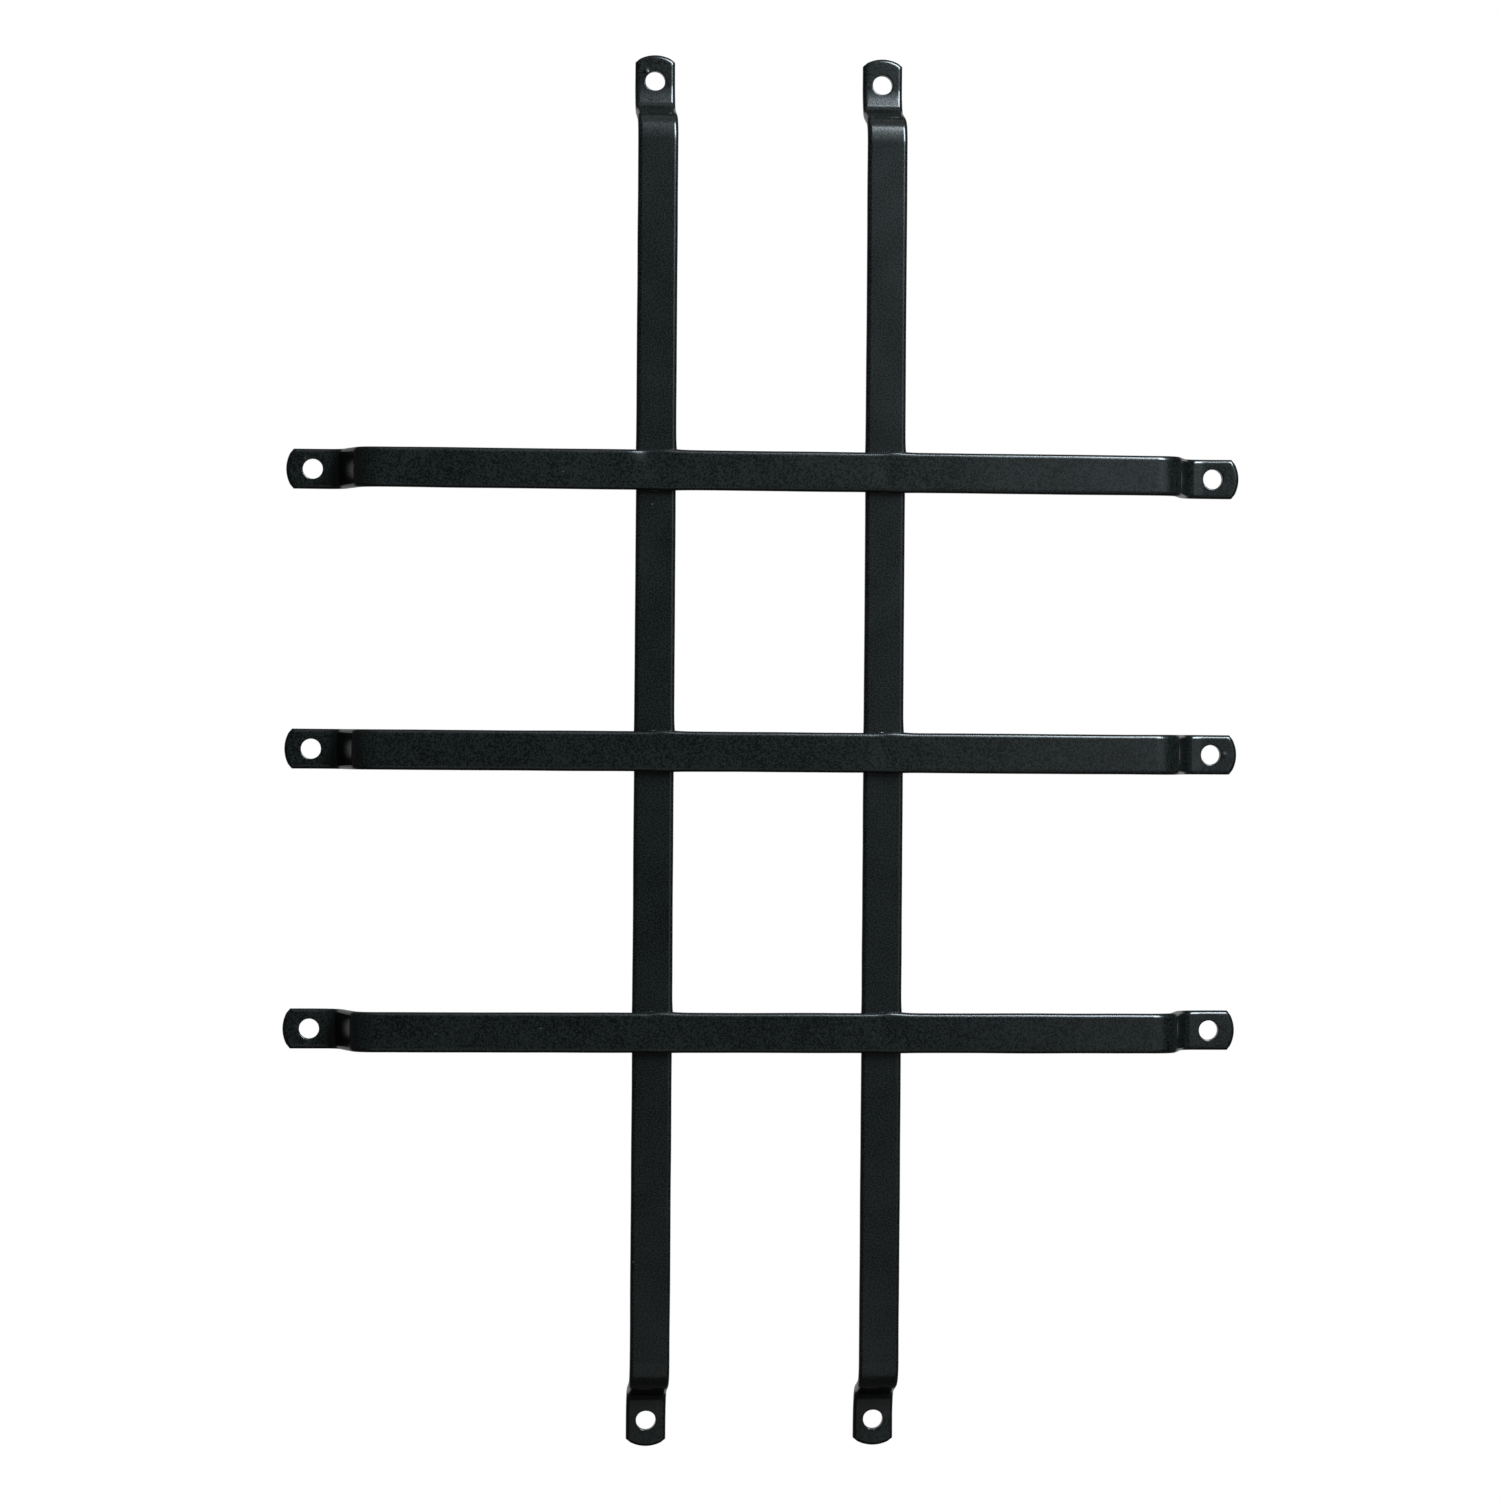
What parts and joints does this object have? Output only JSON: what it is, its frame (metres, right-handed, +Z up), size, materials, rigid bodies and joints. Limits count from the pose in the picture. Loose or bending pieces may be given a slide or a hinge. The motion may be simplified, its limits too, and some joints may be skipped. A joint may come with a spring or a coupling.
{
  "type": "window security bar",
  "caption": "Welded flat-bar window security grille with joggled, drilled ears that stand it off the wall around a small window.",
  "frame": {"origin": "centre of the four screw holes of the upright bars, on the wall plane (the backs of the ears)", "axes": "+X to the right along the cross bars, +Z up along the upright bars, -Y out from the wall towards the viewer; the wall is the plane Y = 0"},
  "size_m": [0.482, 0.035, 0.7],
  "materials": {
    "black_paint": "semi-gloss black enamel on rolled flat bar",
    "painted_weld": "semi-gloss black enamel over squeezed-out weld metal"
  },
  "bodies": {
    "root": {"upright_bar_left": "black_paint", "upright_bar_right": "black_paint", "cross_bar_upper": "black_paint", "cross_bar_middle": "black_paint", "cross_bar_lower": "black_paint", "weld_upper_left": "painted_weld", "weld_upper_right": "painted_weld", "weld_middle_left": "painted_weld", "weld_middle_right": "painted_weld", "weld_lower_left": "painted_weld", "weld_lower_right": "painted_weld"}
  },
  "joints": []
}
